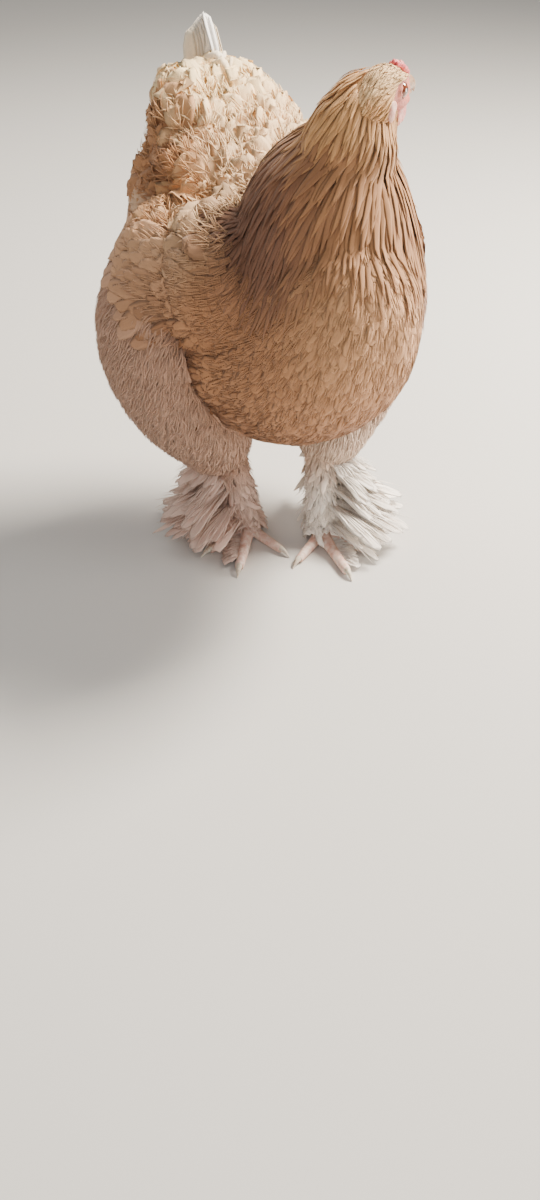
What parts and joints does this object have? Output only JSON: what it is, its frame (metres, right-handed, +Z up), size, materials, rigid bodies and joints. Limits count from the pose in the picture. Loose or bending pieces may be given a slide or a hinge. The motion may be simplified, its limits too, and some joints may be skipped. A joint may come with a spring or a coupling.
{
  "type": "brahma hen",
  "caption": "Life-size still model of a standing buff Brahma hen with feathered feet, head turned over its left shoulder.",
  "frame": {"origin": "middle of the bird's box, on the floor it stands on", "axes": "+Z up; the hen's body faces -Y and its left side is +X; the head is turned to +X"},
  "size_m": [0.384, 0.4062, 0.5314],
  "materials": {
    "plumage_buff": "soft matte feather",
    "plumage_hackle": "satin feather",
    "plumage_head": "short matte feather",
    "plumage_cream": "soft matte feather",
    "red_skin": "pebbled waxy skin",
    "scaly_skin": "scaly satin skin",
    "horn": "satin horn",
    "eye": "wet gloss"
  },
  "bodies": {
    "root": {"torso": "plumage_buff", "neck": "plumage_hackle", "head": "plumage_head", "beak_upper": "horn", "beak_lower": "horn", "comb": "red_skin", "tail": "plumage_cream", "eye_left": "eye", "eye_right": "eye", "wattle_left": "red_skin", "wattle_right": "red_skin", "earlobe_left": "red_skin", "earlobe_right": "red_skin", "wing_left": "plumage_buff", "wing_right": "plumage_buff", "thigh_left": "plumage_cream", "thigh_right": "plumage_cream", "shank_left": "plumage_cream", "shank_right": "plumage_cream", "foot_left": "scaly_skin", "foot_right": "scaly_skin", "claw_left_inner": "horn", "claw_left_middle": "horn", "claw_left_outer": "horn", "claw_left_hind": "horn", "claw_right_inner": "horn", "claw_right_middle": "horn", "claw_right_outer": "horn", "claw_right_hind": "horn"}
  },
  "joints": []
}
